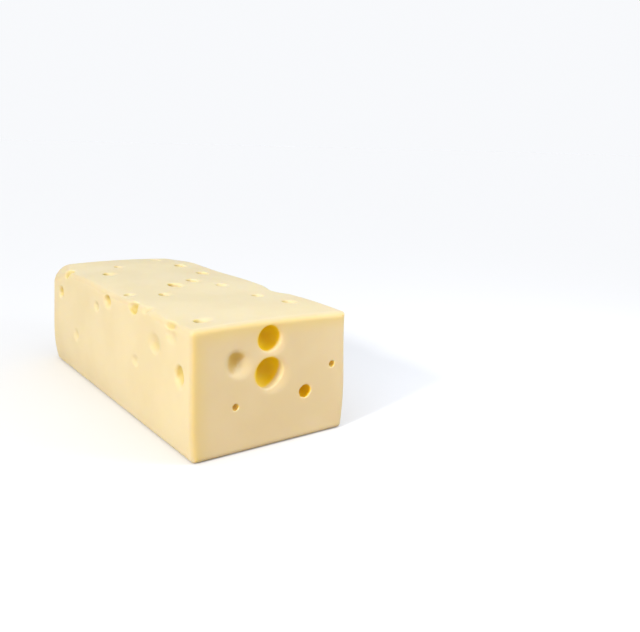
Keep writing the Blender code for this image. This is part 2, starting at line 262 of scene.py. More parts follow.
class LoafSizes(bpy.types.PropertyGroup):
    """The form of the loaf and of its eyes."""

    length: FloatProperty(
        name="Length",
        description="From the cut end to the far end, before the far end's dome",
        default=0.2975,
        unit="LENGTH",
    )
    width: FloatProperty(
        name="Width",
        description="From side to side at the bottom",
        default=0.1239,
        unit="LENGTH",
    )
    height: FloatProperty(
        name="Height",
        description="From the bottom to the top, along the long edges",
        default=0.0906,
        unit="LENGTH",
    )
    crown: FloatProperty(
        name="Crown",
        description="How far the top rises along its middle at the cut end",
        default=0.0017,
        unit="LENGTH",
    )
    far_crown: FloatProperty(
        name="Far crown",
        description="How far the top rises along its middle at the far end",
        default=0.0024,
        unit="LENGTH",
    )
    tilt: FloatProperty(
        name="Tilt",
        description="How far the top's left edge is higher, and its right edge lower, than level",
        default=0.0006,
        unit="LENGTH",
    )
    lean: FloatProperty(
        name="Lean",
        description="How far the right side leans out at the top",
        default=0.0016,
        unit="LENGTH",
    )
    near_bulge: FloatProperty(
        name="Near bulge",
        description="How far the sides swell out at the cut end, most at a third of the height",
        default=0.0016,
        unit="LENGTH",
    )
    far_bulge: FloatProperty(
        name="Far bulge",
        description="How far the sides swell out at the far end, most at a third of the height",
        default=0.0034,
        unit="LENGTH",
    )
    end_bulge: FloatProperty(
        name="End bulge",
        description="How far the far end swells out in its middle",
        default=0.0035,
        unit="LENGTH",
    )
    slump: FloatProperty(
        name="Slump",
        description="How far the foot of the far end has crept out",
        default=0.0035,
        unit="LENGTH",
    )
    top_wave: FloatProperty(
        name="Top wave",
        description="Depth of the long, slow waves in the top",
        default=0.00072,
        unit="LENGTH",
    )
    side_wave: FloatProperty(
        name="Side wave",
        description="Depth of the long, slow waves in the sides",
        default=0.00045,
        unit="LENGTH",
    )
    cut_edge: FloatProperty(
        name="Cut edge",
        description="Radius of the soft edge round the cut end",
        default=0.004,
        unit="LENGTH",
    )
    left_edge: FloatProperty(
        name="Left edge",
        description="Radius of the long top edge at the left, near the cut end",
        default=0.0038,
        unit="LENGTH",
    )
    right_edge: FloatProperty(
        name="Right edge",
        description="Radius of the long top edge at the right, near the cut end",
        default=0.0018,
        unit="LENGTH",
    )
    far_edge: FloatProperty(
        name="Far edge",
        description="Radius of the top edge of the far end",
        default=0.017,
        unit="LENGTH",
    )
    corner_edge: FloatProperty(
        name="Corner edge",
        description="Radius of the upright edges of the far end",
        default=0.015,
        unit="LENGTH",
    )
    bottom_edge: FloatProperty(
        name="Bottom edge",
        description="Radius of the edges round the bottom",
        default=0.003,
        unit="LENGTH",
    )
    uneven: FloatProperty(
        name="Uneven eyes",
        description="How far an eye's wall strays from a ball, as a share of its radius",
        default=0.03,
        subtype="FACTOR",
        min=0.0,
        max=0.2,
    )
    fineness: FloatProperty(
        name="Fineness",
        description="Spacing of the skin's points on the plain faces",
        default=0.0018,
        unit="LENGTH",
    )


class CheeseLooks(bpy.types.PropertyGroup):
    """The colours of the cheese, its painted shade and painted glow among them, and its finish."""

    skin: FloatVectorProperty(
        name="Skin",
        description="Colour of the top and the sides",
        default=(0.87, 0.742, 0.462),
        subtype="COLOR",
        min=0.0,
        max=1.0,
    )
    paste: FloatVectorProperty(
        name="Paste",
        description="Colour of the freshly cut end",
        default=(0.86, 0.70, 0.415),
        subtype="COLOR",
        min=0.0,
        max=1.0,
    )
    # Painted glow: a yellower band that stands in for light from the lit left side and top coming out
    # through the cut end
    rim_glow: FloatVectorProperty(
        name="Rim",
        description="Colour of the cut end close to its sides and its top",
        default=(0.85, 0.67, 0.29),
        subtype="COLOR",
        min=0.0,
        max=1.0,
    )
    # Painted shade: a golden colour that stands in for the shade deep inside the eyes of the cut end
    gold_shade: FloatVectorProperty(
        name="Gold",
        description="Colour deep inside the eyes",
        default=(0.95, 0.655, 0.01),
        subtype="COLOR",
        min=0.0,
        max=1.0,
    )
    # Painted shade: a darker colour that stands in for the shade in the left part of the eyes of the
    # top
    hollow: FloatVectorProperty(
        name="Hollow",
        description="Colour deep inside the eyes of the top",
        default=(0.62, 0.48, 0.14),
        subtype="COLOR",
        min=0.0,
        max=1.0,
    )
    # Painted shade: a brownish colour that stands in for the shade in the shallow eye of the cut end
    tan: FloatVectorProperty(
        name="Tan",
        description="Colour in a shallow eye of the cut end",
        default=(0.72, 0.485, 0.115),
        subtype="COLOR",
        min=0.0,
        max=1.0,
    )
    # Painted shade: a darker colour on the rounded edges that dims the bright band the lights give
    # them
    edge: FloatVectorProperty(
        name="Edge",
        description="Colour along the long top edges and the edges of the cut end",
        default=(0.775, 0.645, 0.385),
        subtype="COLOR",
        min=0.0,
        max=1.0,
    )
    # Painted shade: a golden colour that stands in for the shade deep inside the eyes of the sides
    dent: FloatVectorProperty(
        name="Dent",
        description="Colour deep inside the eyes of the sides",
        default=(0.76, 0.60, 0.17),
        subtype="COLOR",
        min=0.0,
        max=1.0,
    )
    roughness: FloatProperty(
        name="Roughness",
        description="How dull the waxy skin is",
        default=0.42,
        subtype="FACTOR",
        min=0.0,
        max=1.0,
    )
    glow: FloatProperty(
        name="Glow",
        description="How far light travels inside the cheese",
        default=0.0035,
        unit="LENGTH",
    )


class StageLooks(bpy.types.PropertyGroup):
    """The floor, the lights and the camera."""

    floor: FloatVectorProperty(
        name="Floor",
        description="Colour of the floor",
        default=(0.90, 0.90, 0.90),
        subtype="COLOR",
        min=0.0,
        max=1.0,
    )
    bounce: FloatVectorProperty(
        name="Bounce",
        description="Colour of the light that the floor throws back at the block",
        default=(0.48, 0.42, 0.36),
        subtype="COLOR",
        min=0.0,
        max=1.0,
    )
    sky: FloatProperty(
        name="Sky",
        description="Strength of the even light from all round",
        default=0.35,
        min=0.0,
    )
    overhead: FloatProperty(
        name="Overhead light",
        description="Strength of the very soft light from straight above",
        default=1.53,
        min=0.0,
    )
    near: FloatProperty(
        name="Near lights",
        description="Power of the two small soft lights close to the cut end",
        default=1.0,
        unit="POWER",
    )
    key: FloatProperty(
        name="Key light",
        description="Strength of the large soft light at the left",
        default=1.61,
        min=0.0,
    )
    softness: FloatProperty(
        name="Softness",
        description="How wide the key light looks from the block",
        default=math.radians(9),
        subtype="ANGLE",
    )
    lens: FloatProperty(
        name="Lens",
        description="Focal length of the camera",
        default=40.47,
        subtype="DISTANCE_CAMERA",
    )


def smooth_step(low, high, value):
    """0 below low, 1 above high, and a smooth rise between them."""
    t = np.clip((value - low) / (high - low), 0.0, 1.0)
    return t * t * (3 - 2 * t)


def round_corner(first, second, radius):
    """Field of what lies inside both fields, their shared corner rounded to radius."""
    corner = np.hypot(np.maximum(first + radius, 0.0), np.maximum(second + radius, 0.0))
    return np.minimum(np.maximum(first, second), -radius) + corner


def settle(x, y, z, sizes):
    """How far crown, tilt, lean, bulges, slump and waves move the plain loaf's points."""
    across = x / (sizes.width / 2)
    up = np.clip(z / sizes.height, 0.0, 1.0)
    swell = np.sin(np.pi * up * (1 + BULGE_LOW * (1 - up)))
    lift = smooth_step(*WAVES_BEGIN, up)
    away = smooth_step(*(sizes.length * share for share in SWELLING_BEGINS), y)
    along = smooth_step(-sizes.length / 2, sizes.length / 2, y)
    bulge = sizes.near_bulge + (sizes.far_bulge - sizes.near_bulge) * along
    crown = sizes.crown + (sizes.far_crown - sizes.crown) * along
    turn, start, turn_across, start_across = TOP_WAVES
    wave_top = np.sin(y * turn + start) * np.cos(x * turn_across + start_across)
    turn, start, turn_up, start_up = SIDE_WAVES
    wave_side = np.sin(y * turn + start * across) * np.sin(z * turn_up + start_up)
    dome = 1 - across * across
    return np.stack(
        (
            across * (bulge * swell + sizes.side_wave * wave_side * lift)
            + sizes.lean * up * np.maximum(across, 0.0),
            away * (sizes.end_bulge * swell * dome + sizes.slump * (1 - up)),
            up * (crown * dome - sizes.tilt * across + sizes.top_wave * wave_top * lift),
        ),
        axis=1,
    )


def plain_place(points, sizes):
    """Where each point of the settled loaf lies in the plain loaf."""
    aside = np.array((LOAF_ASIDE, BOX_LOW.y + sizes.length / 2, 0.0))
    plain = points - aside
    for _ in range(2):
        plain = points - aside - settle(*plain.T, sizes)
    return plain.T


def rim_field(points, sizes):
    """Distance of each point from the loaf's left side or its top, negative inside."""
    x, _, z = plain_place(points, sizes)
    return np.maximum(-x - sizes.width / 2, z - sizes.height)


def loaf_field(points, sizes):
    """Distance of each point from the loaf's surface before its eyes, negative inside."""
    x, y, z = plain_place(points, sizes)
    half = sizes.length / 2
    growth = smooth_step(*(sizes.length * share for share in EDGES_GROW), y)
    near_edge = np.where(x < 0, sizes.left_edge, sizes.right_edge)
    top_edge = near_edge + (sizes.far_edge - near_edge) * growth
    field = round_corner(np.abs(x) - sizes.width / 2, y - half, sizes.corner_edge)
    field = round_corner(field, z - sizes.height, top_edge)
    field = round_corner(field, -z, sizes.bottom_edge)
    return round_corner(field, -half - y, sizes.cut_edge)


class Eye:
    """One eye: a bubble, placed on the loaf's surface and opening outwards."""

    def __init__(self, face, spot, size, draw, sizes, pan=(0.0, 0.0)):
        width, height, depth, lip = (value * MM for value in size)
        self.face = face
        self.width = width
        self.depth = depth
        self.squash = height / width
        self.out = np.array(OPENS[face])
        along_x = abs(self.out[0]) < 0.5
        self.across = np.array((1.0, 0.0, 0.0) if along_x else (0.0, 1.0, 0.0))
        self.up = np.cross(self.out, self.across)
        self.place = self.reach_surface(spot, sizes)
        mouth = width / 2
        self.ball = (mouth * mouth + depth * depth) / (2 * depth)
        self.middle = self.ball - depth
        self.lip = lip * (1 + SOFT_LIP * max(0.0, 1 - depth / mouth))
        self.turn = draw.uniform(0, math.tau)
        self.uneven = draw.uniform(*STRAY_SHARE) * sizes.uneven
        reach, turn = pan
        ahead = math.radians(turn)
        self.ahead = np.array((math.cos(ahead), math.sin(ahead)))
        self.slope = PAN_SLOPE * reach * MM

    def reach_surface(self, spot, sizes):
        """The point of the loaf's surface straight in from the eye's place on its face."""
        first, second = (value * MM for value in spot)
        left = -sizes.width / 2
        near = -sizes.length / 2
        if self.face in (CUT, FAR):
            start = np.array((left + first, self.out[1] * sizes.length / 2, second))
        elif self.face in (TOP, BOTTOM):
            start = np.array((left + first, near + second, max(0.0, self.out[2]) * sizes.height))
        elif self.face in (LEFT, RIGHT):
            start = np.array((self.out[0] * sizes.width / 2, near + first, second))
        else:
            over_the_edge = np.array((-self.out[0], 0.0, self.out[2]))
            corner = (math.copysign(sizes.width / 2, self.out[0]), near + first, sizes.height)
            start = np.array(corner) + over_the_edge * second
        point = start + self.out * sizes.height
        for _ in range(SURFACE_ROUNDS):
            point = point - self.out * loaf_field(point[None], sizes)[0]
        return point

    def local(self, points):
        """Points as measured from the eye: across its mouth, up its mouth and outwards."""
        away = points - self.place
        return away @ self.across, away @ self.up / self.squash, away @ self.out

    def field(self, points):
        """Distance of each point from the bubble's wall, negative inside the bubble."""
        u, v, w = self.local(points)
        angle = np.arctan2(v, u)
        stray = np.sin(2 * angle + self.turn) + np.sin(3 * angle - self.turn)
        flat = np.hypot(u, v) / (1 + self.uneven * stray)
        return np.hypot(flat, w - self.middle) - self.ball


def pan_beside(name):
    """The row of the shallow pan that the named eye runs out into."""
    face, spot, size = EYES[name]
    reach, turn = PANS[name]
    ahead = math.radians(turn)
    place = (spot[0] + reach * math.cos(ahead), spot[1] + reach * math.sin(ahead))
    width, height = size[0] * PAN_WIDTH, size[1] * PAN_WIDTH
    return face, place, (width, height, size[0] * PAN_DEPTH, size[0] * PAN_LIP)


def scatter_eyes(face):
    """Places and sizes for the eyes of a face that is turned away, by a seeded rule.

    They follow one another along the face's longer way, and keep clear of each other.
    """
    sizes = bpy.context.scene.cheese_loaf
    length, width, height = (s / MM for s in (sizes.length, sizes.width, sizes.height))
    count, least, most, deepest, border, bare, seed = SCATTER[face]
    draw = random.Random(seed)
    span = {RIGHT: (length, height), FAR: (width, height), BOTTOM: (width, length)}[face]
    eyes = []
    while len(eyes) < count:
        shares = [(len(eyes) + draw.random()) / count, draw.random()]
        if span[1] > span[0]:
            shares.reverse()
        first = border + shares[0] * (span[0] - 2 * border)
        second = border + shares[1] * (span[1] - 2 * border)
        eye_width = least + (most - least) * draw.random() ** SMALL_ARE_COMMON
        eye_height = eye_width * draw.uniform(*ROUNDNESS)
        depth = eye_width * draw.uniform(SHALLOWEST, deepest)
        crowded = math.dist((first, second), (span[0] / 2, span[1] / 2)) < bare
        for _, spot, size in eyes:
            room = (eye_width + size[0]) / 2 + SCATTER_GAP
            crowded = crowded or math.dist((first, second), spot) < room
        if not crowded:
            size = (eye_width, eye_height, depth, eye_width * LIP_SHARE)
            eyes.append((face, (first, second), size))
    return eyes


def all_eyes(sizes):
    """Every eye of the block."""
    draw = random.Random(EYE_SEED)
    eyes = []
    for name, row in EYES.items():
        eyes.append(Eye(*row, draw, sizes, PANS.get(name, (0.0, 0.0))))
    rows = [pan_beside(name) for name in PANS]
    for face in SCATTER:
        rows += scatter_eyes(face)
    return eyes + [Eye(*row, draw, sizes) for row in rows]


def block_field(points, eyes, sizes):
    """Distance of each point from the block's surface, eyes and lips included."""
    field = loaf_field(points, sizes)
    for eye in eyes:
        # Farther away than this, the eye and its lip change nothing
        reach = eye.ball * 1.2 + eye.lip * 2 + abs(eye.middle)
        near = (np.abs(points - eye.place) < reach).all(axis=1)
        if near.any():
            bubble = eye.field(points[near])
            field[near] = round_corner(field[near], -bubble, eye.lip)
    return field


def slopes(field, points, *others):
    """A field and its gradient at each point. The others are what the field takes besides."""
    here = field(points, *others)
    gradient = np.empty_like(points)
    for axis in range(3):
        moved = points.copy()
        moved[:, axis] += PROBE
        gradient[:, axis] = (field(moved, *others) - here) / PROBE
    return here, gradient


def slide_onto(points, eyes, sizes, rounds=3):
    """Moves each point straight onto the surface, and gives the surface's normals there."""
    for _ in range(rounds):
        here, gradient = slopes(block_field, points, eyes, sizes)
        steep = np.maximum((gradient * gradient).sum(axis=1), LEAST_SLOPE)
        move = (here / steep)[:, None] * gradient
        length = np.linalg.norm(move, axis=1, keepdims=True)
        move *= np.minimum(1.0, LONGEST_SLIDE / np.maximum(length, LEAST_LENGTH))
        points = points - move
    steepness = np.linalg.norm(gradient, axis=1, keepdims=True)
    return points, gradient / np.maximum(steepness, LEAST_LENGTH)


def even_out(points, edges, eyes, sizes, rounds):
    """Spaces the points evenly along the surface, without leaving it."""
    points, normals = slide_onto(points, eyes, sizes)
    count = len(points)
    shares = np.bincount(edges.ravel(), minlength=count)[:, None]
    for _ in range(rounds):
        total = np.empty_like(points)
        for axis in range(3):
            ends = points[:, axis]
            total[:, axis] = np.bincount(edges[:, 0], ends[edges[:, 1]], count)
            total[:, axis] += np.bincount(edges[:, 1], ends[edges[:, 0]], count)
        drift = total / shares - points
        drift -= (drift * normals).sum(axis=1, keepdims=True) * normals
        points, normals = slide_onto(points + 0.5 * drift, eyes, sizes, rounds=1)
    return slide_onto(points, eyes, sizes)


def read_mesh(mesh):
    """A mesh's points and edges as arrays."""
    points = np.empty(len(mesh.vertices) * 3)
    mesh.vertices.foreach_get("co", points)
    edges = np.empty(len(mesh.edges) * 2, np.int32)
    mesh.edges.foreach_get("vertices", edges)
    return points.reshape(-1, 3), edges.reshape(-1, 2)


def refine(mesh, normals, sharp, shortest):
    """Halves the edges across which the surface turns by more than sharp."""
    points, edges = read_mesh(mesh)
    turned = (normals[edges[:, 0]] * normals[edges[:, 1]]).sum(axis=1) < math.cos(sharp)
    length = np.linalg.norm(points[edges[:, 0]] - points[edges[:, 1]], axis=1)
    bm = bmesh.new()
    bm.from_mesh(mesh)
    bm.edges.ensure_lookup_table()
    chosen = [bm.edges[k] for k in np.flatnonzero(turned & (length > shortest))]
    bmesh.ops.subdivide_edges(bm, edges=chosen, cuts=1)
    bmesh.ops.triangulate(bm, faces=bm.faces, quad_method="BEAUTY", ngon_method="BEAUTY")
    bm.to_mesh(mesh)
    bm.free()


class Wire:
    """A socket that takes part in sums: an expression on it adds its Math nodes."""

    def __init__(self, tree, socket):
        self.tree = tree
        self.socket = socket

    def sum(self, operation, first, second):
        sockets = {0: first, 1: second}
        return self.tree.add("ShaderNodeMath", {"operation": operation}, sockets)

    def __add__(self, other):
        return self.sum("ADD", self, other)

    def __radd__(self, other):
        return self.sum("ADD", other, self)

    def __sub__(self, other):
        return self.sum("SUBTRACT", self, other)

    def __rsub__(self, other):
        return self.sum("SUBTRACT", other, self)

    def __mul__(self, other):
        return self.sum("MULTIPLY", self, other)

    def __rmul__(self, other):
        return self.sum("MULTIPLY", other, self)


class Tree:
    """A node tree that is written as expressions."""

    def __init__(self, tree):
        self.tree = tree

    def add(self, kind, settings, sockets, output=0):
        """One node of a kind: its settings come first, then its sockets' values or links."""
        node = self.tree.nodes.new(kind)
        for name, value in settings.items():
            setattr(node, name, value)
        for key, value in sockets.items():
            if isinstance(value, Wire):
                self.tree.links.new(value.socket, node.inputs[key])
            else:
                node.inputs[key].default_value = value
        return Wire(self, node.outputs[output])

    def blend(self, share, first, second):
        """A colour between two colours, by share."""
        settings = {"data_type": "RGBA"}
        return self.add("ShaderNodeMix", settings, {0: share, 6: first, 7: second}, 2)

    def ramp(self, value, low, high):
        """0 below low, 1 above high, with a smooth rise between them."""
        settings = {"interpolation_type": "SMOOTHSTEP"}
        sockets = {"Value": value, "From Min": low, "From Max": high}
        return self.add("ShaderNodeMapRange", settings, sockets)

    def noise(self, place, size, detail=2.0, rough=0.5):
        """Soft noise with spots of about size metres, from 0 to 1."""
        sockets = {"Vector": place, "Scale": 1 / size, "Detail": detail, "Roughness": rough}
        return self.add("ShaderNodeTexNoise", {}, sockets)

    def attribute(self, name):
        """A value that the mesh carries at each point."""
        return self.add("ShaderNodeAttribute", {"attribute_name": name}, {}, 2)


def bubble_tree(material):
    """Geometry Nodes that put a ball on each point, sized and turned as the point says."""
    group = bpy.data.node_groups.new("eye_bubbles", "GeometryNodeTree")
    panel = group.interface
    panel.new_socket("Geometry", in_out="INPUT", socket_type="NodeSocketGeometry")
    roundness = panel.new_socket("Roundness", in_out="INPUT", socket_type="NodeSocketInt")
    size = panel.new_socket("Size", in_out="INPUT", socket_type="NodeSocketFloat")
    panel.new_socket("Geometry", in_out="OUTPUT", socket_type="NodeSocketGeometry")
    tree = Tree(group)
    entry = group.nodes.new("NodeGroupInput")
    points, steps, radius = (Wire(tree, socket) for socket in list(entry.outputs)[:3])
    ball = tree.add("GeometryNodeMeshIcoSphere", {}, {"Radius": radius, "Subdivisions": steps})
    vector = {"data_type": "FLOAT_VECTOR"}
    euler = tree.add("GeometryNodeInputNamedAttribute", vector, {"Name": "turn"})
    turn = tree.add("FunctionNodeEulerToRotation", {}, {"Euler": euler})
    stretch = tree.add("GeometryNodeInputNamedAttribute", vector, {"Name": "stretch"})
    sockets = {"Points": points, "Instance": ball, "Rotation": turn, "Scale": stretch}
    placed = tree.add("GeometryNodeInstanceOnPoints", {}, sockets)
    real = tree.add("GeometryNodeRealizeInstances", {}, {"Geometry": placed})
    sockets = {"Geometry": real, "Material": material}
    dressed = tree.add("GeometryNodeSetMaterial", {}, sockets)
    leave = group.nodes.new("NodeGroupOutput")
    group.links.new(dressed.socket, leave.inputs[0])
    return group, roundness.identifier, size.identifier


def new_object(name, mesh):
    """A mesh's object, at the origin."""
    made = bpy.data.objects.new(name, mesh)
    bpy.context.scene.collection.objects.link(made)
    return made


def finished_mesh(source):
    """A plain mesh of an object with its modifiers applied."""
    bpy.context.view_layer.update()
    shown = source.evaluated_get(bpy.context.evaluated_depsgraph_get())
    return bpy.data.meshes.new_from_object(shown)


def make_bubbles(eyes, material, spacing):
    """The eyes' bubbles as one mesh object, set out by Geometry Nodes.

    The smallest are made larger here, or the net's points would be too far apart to enter them.
    """
    centres = [eye.place + eye.out * eye.middle for eye in eyes]
    turns = [Matrix((eye.across, eye.up, eye.out)).transposed().to_euler() for eye in eyes]
    balls = [max(eye.ball, LEAST_BALL * spacing) for eye in eyes]
    stretches = [(ball, ball * eye.squash, ball) for ball, eye in zip(balls, eyes)]
    mesh = bpy.data.meshes.new("eye_bubbles")
    mesh.from_pydata([tuple(centre) for centre in centres], [], [])
    for name, values in (("turn", turns), ("stretch", stretches)):
        attribute = mesh.attributes.new(name, "FLOAT_VECTOR", "POINT")
        attribute.data.foreach_set("vector", np.array(values, np.float32).ravel())
    seeds = new_object("eye_seeds", mesh)
    group, roundness, size = bubble_tree(material)
    nodes = seeds.modifiers.new("eye bubbles", "NODES")
    nodes.node_group = group
    nodes[roundness] = BALL_STEPS
    nodes[size] = 1.0
    bubbles = new_object("eye_bubbles", finished_mesh(seeds))
    bpy.data.objects.remove(seeds)
    return bubbles


def make_plain_loaf(sizes):
    """The loaf without eyes, its far edges cut back, as the block's first shape."""
    bm = bmesh.new()
    bmesh.ops.create_cube(bm, size=1.0)
    height = sizes.height + sizes.crown
    scale = (sizes.width, sizes.length, height)
    middle = (0.0, BOX_LOW.y + sizes.length / 2, height / 2)
    bmesh.ops.scale(bm, vec=scale, verts=bm.verts)
    bmesh.ops.translate(bm, vec=middle, verts=bm.verts)
    far_edges = []
    for edge in bm.edges:
        ends = [vertex.co for vertex in edge.verts]
        if min(end.y for end in ends) > 0 and max(end.z for end in ends) > CUT_BACK_FROM:
            far_edges.append(edge)
    form = {"offset": sizes.far_edge, "segments": BEVEL_STEPS, "profile": 0.5}
    bmesh.ops.bevel(bm, geom=far_edges, affect="EDGES", **form)
    mesh = bpy.data.meshes.new("plain_loaf")
    bm.to_mesh(mesh)
    bm.free()
    return new_object("plain_loaf", mesh)


def open_eyes(loaf, bubbles, spacing):
    """The loaf with its eyes opened, divided into an even net of points."""
    cut = loaf.modifiers.new("eyes", "BOOLEAN")
    cut.operation = "DIFFERENCE"
    cut.solver = "EXACT"
    cut.use_self = True
    cut.object = bubbles
    net = loaf.modifiers.new("net", "REMESH")
    net.mode = "VOXEL"
    net.voxel_size = spacing
    mesh = finished_mesh(loaf)
    bpy.data.objects.remove(loaf)
    bpy.data.objects.remove(bubbles)
    return mesh


def lay_skin(mesh, eyes, sizes):
    """Slides the net onto the block's surface, and divides it further where it bends."""
    points, edges = read_mesh(mesh)
    points, _ = slide_onto(points, eyes, sizes, rounds=8)
    points, normals = even_out(points, edges, eyes, sizes, rounds=6)
    mesh.vertices.foreach_set("co", points.ravel())
    for sharp, shortest in FINER:
        refine(mesh, normals, sharp, shortest)
        points, edges = read_mesh(mesh)
        points, normals = even_out(points, edges, eyes, sizes, rounds=4)
        mesh.vertices.foreach_set("co", points.ravel())
    mesh.update()
    return points, normals


def edge_share(points, sizes):
    """How much each point lies on the rounding of a long edge or of the cut, from 0 to 1."""
    _, gradient = slopes(loaf_field, points, sizes)
    side = np.abs(gradient[:, 0])
    near = np.maximum(-gradient[:, 1], 0.0)
    top = np.maximum(gradient[:, 2], 0.0)
    return smooth_step(*EDGE_TURN, np.maximum(side * top, near * np.maximum(side, top)))


def mark_skin(mesh, points, normals, eyes, sizes):
    """Lets each point say how much of the cut it shows, and its painted shade by how deep in an eye it
    lies or how far on a rounded edge, and its painted glow near the cut's left and top.
    """
    gold_shade = np.zeros(len(points))
    hollow = np.zeros(len(points))
    tan = np.zeros(len(points))
    dent = np.zeros(len(points))
    at_end = points[:, 1] - BOX_LOW.y < sizes.cut_edge
    cut = at_end * smooth_step(*CUT_FACING, -normals[:, 1])
    for eye in eyes:
        u, v, w = eye.local(points)
        away = np.hypot(np.hypot(u, v), w - eye.middle) / eye.ball
        inside = smooth_step(TOP_COLOUR_REACH if eye.face == TOP else COLOUR_REACH, 1.0, away)
        ratio = eye.depth / (eye.width * math.sqrt(eye.squash))
        if eye.face == CUT:
            towards = u * eye.ahead[0] + v * eye.ahead[1]
            # Painted golden shade, whose edge slopes like a shadow's edge so that the wall towards the
            # pan stays pale as if lit
            if ratio > DEEP:
                deep = smooth_step(*GOLD_DEPTH, -(w + eye.slope * towards) / eye.width) * inside
                gold_shade = np.maximum(gold_shade, deep * smooth_step(0.0, ALL_GOLD, eye.width))
            elif eye.slope:
                # Painted brownish shade, which stops short of the pan and fades at the eye's left,
                # shaped like the shadow in the eye
                deep = smooth_step(*TAN_DEPTH, -w / eye.width) * inside
                deep *= smooth_step(*TAN_END, towards / eye.width)
                deep *= smooth_step(*TAN_LEFT, u / eye.width)
                tan = np.maximum(tan, deep)
        elif eye.face == TOP:
            # Painted shade in an eye of the top, darkest at its left and fading towards its lit right
            # wall
            deep = smooth_step(*TOP_DEPTH, -w / eye.width) * inside
            deep *= smooth_step(*TOP_RIGHT_FADE, u / eye.width)
            hollow = np.maximum(hollow, TOP_SHARE * deep * smooth_step(*DEEP_TOP, ratio))
        else:
            # Painted shade deep inside an eye of the sides
            deep = smooth_step(*SIDE_DEPTH, -w / eye.width) * inside
            deep *= smooth_step(*DEEP_SIDE, ratio)
            dent = np.maximum(dent, SIDE_SHARE * deep)
            # An eye on the top left edge also takes some of the painted shade of the top's eyes
            if eye.face == TOP_LEFT:
                hollow = np.maximum(hollow, EDGE_SHARE * deep)
    # Painted glow on the cut end near its left side and top
    rim_glow = cut * smooth_step(RIM_WIDTH, 0.0, -rim_field(points, sizes))
    # Painted shade on the rounded edges, which dims their bright band of light
    edge = edge_share(points, sizes) * (1 - cut)
    marks = {"edge": edge, "cut": cut, "rim_glow": rim_glow, "dent": dent, "hollow": hollow}
    marks.update({"tan": tan, "gold_shade": gold_shade})
    for name, values in marks.items():
        attribute = mesh.attributes.new(name, "FLOAT", "POINT")
        attribute.data.foreach_set("value", values.astype(np.float32))


def cheese_material(looks):
    """Pale waxy cheese: an even skin and a slightly yellower cut, with painted shade that darkens the
    eyes and the rounded edges, and painted glow near the cut's left and top.
    """
    material = bpy.data.materials.new("cheese")
    material.use_nodes = True
    material.node_tree.nodes.clear()
    tree = Tree(material.node_tree)
    place = tree.add("ShaderNodeTexCoord", {}, {}, 3)
    gold_shade = tree.attribute("gold_shade")
    cut = tree.attribute("cut")
    clouds = tree.noise(place, CLOUD_SIZE)
    grain = tree.noise(place, GRAIN_SIZE, 3.0, 0.6)
    body = tree.blend(cut, (*looks.skin, 1), (*looks.paste, 1))
    multiply = {"data_type": "RGBA", "blend_type": "MULTIPLY"}
    pale = tree.add("ShaderNodeMix", multiply, {0: 1.0, 6: body, 7: (*CLOUD_TINT, 1)}, 2)
    body = tree.blend(tree.ramp(clouds, *CLOUDS_BEGIN), body, pale)
    # Painted shade darkens the rounded edges
    colour = tree.blend(tree.attribute("edge"), body, (*looks.edge, 1))
    # Painted glow near the cut end's left and top, then painted shade in the eyes of the sides, in the
    # eyes of the top and in the shallow eye of the cut end
    for name in ("rim_glow", "dent", "hollow", "tan"):
        colour = tree.blend(tree.attribute(name), colour, (*getattr(looks, name), 1))
    # Painted golden shade deep in the eyes of the cut end
    colour = tree.blend(gold_shade, colour, (*looks.gold_shade, 1))
    roughness = looks.roughness + GRAIN_ROUGHER * (grain - 0.5)
    roughness = roughness + CUT_ROUGHER * cut + GOLD_ROUGHER * gold_shade
    height = tree.noise(place, SWELL_SIZE) + GRAIN_PART * grain
    relief = {"Strength": RELIEF_STRENGTH, "Distance": RELIEF, "Height": height}
    normal = tree.add("ShaderNodeBump", {}, relief)
    shader = tree.add(
        "ShaderNodeBsdfPrincipled",
        {"subsurface_method": "RANDOM_WALK"},
        {
            "Base Color": colour,
            "Roughness": roughness,
            "Normal": normal,
            "IOR": CHEESE_IOR,
            "Subsurface Weight": 1.0,
            "Subsurface Radius": TRAVEL,
            "Subsurface Scale": looks.glow,
        },
    )
    leave = tree.tree.nodes.new("ShaderNodeOutputMaterial")
    tree.tree.links.new(shader.socket, leave.inputs["Surface"])
    return material


class CHEESE_OT_block(bpy.types.Operator):
    """Makes the block of cheese, its eyes included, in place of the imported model's node"""

    bl_idname = "cheese.block"
    bl_label = "Cheese Block"

    def execute(self, context):
        sizes = context.scene.cheese_loaf
        material = cheese_material(context.scene.cheese_looks)
        eyes = all_eyes(sizes)
        bubbles = make_bubbles(eyes, material, sizes.fineness)
        mesh = open_eyes(make_plain_loaf(sizes), bubbles, sizes.fineness)
        points, normals = lay_skin(mesh, eyes, sizes)
        mark_skin(mesh, points, normals, eyes, sizes)
        mesh.materials.clear()
        mesh.materials.append(material)
        mesh.shade_smooth()
        mesh.name = PIECE
        block = new_object(PIECE, mesh)
        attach(block, "root")
        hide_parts(NODE)
        return {"FINISHED"}


# The camera of the photograph: its place from the middle of the block's bottom, the way it
# looks, turned from the block's length, down from level and about its own axis, the width of
# its film in millimetres, and the nearest that it sees
CAMERA_PLACE = Vector((-0.2587, -0.5522, 0.2081))
CAMERA_TURN = math.radians(36.58)
CAMERA_DOWN = math.radians(13.36)
CAMERA_ROLL = math.radians(1.48)
CAMERA_FILM = 36.0
CAMERA_NEAREST = 0.01

# The side from which the key light shines, the angle that the overhead light fills, and the
# tints of the key light, of the sky and of the near light at the right
KEY_SIDE = Vector((-0.87, -0.19, 0.45))
OVERHEAD_ANGLE = math.radians(120)
KEY_TINT = (1.0, 0.98, 0.94)
SKY_TINT = (0.97, 0.99, 1.03)
FILL_TINT = (0.93, 1.0, 1.16)

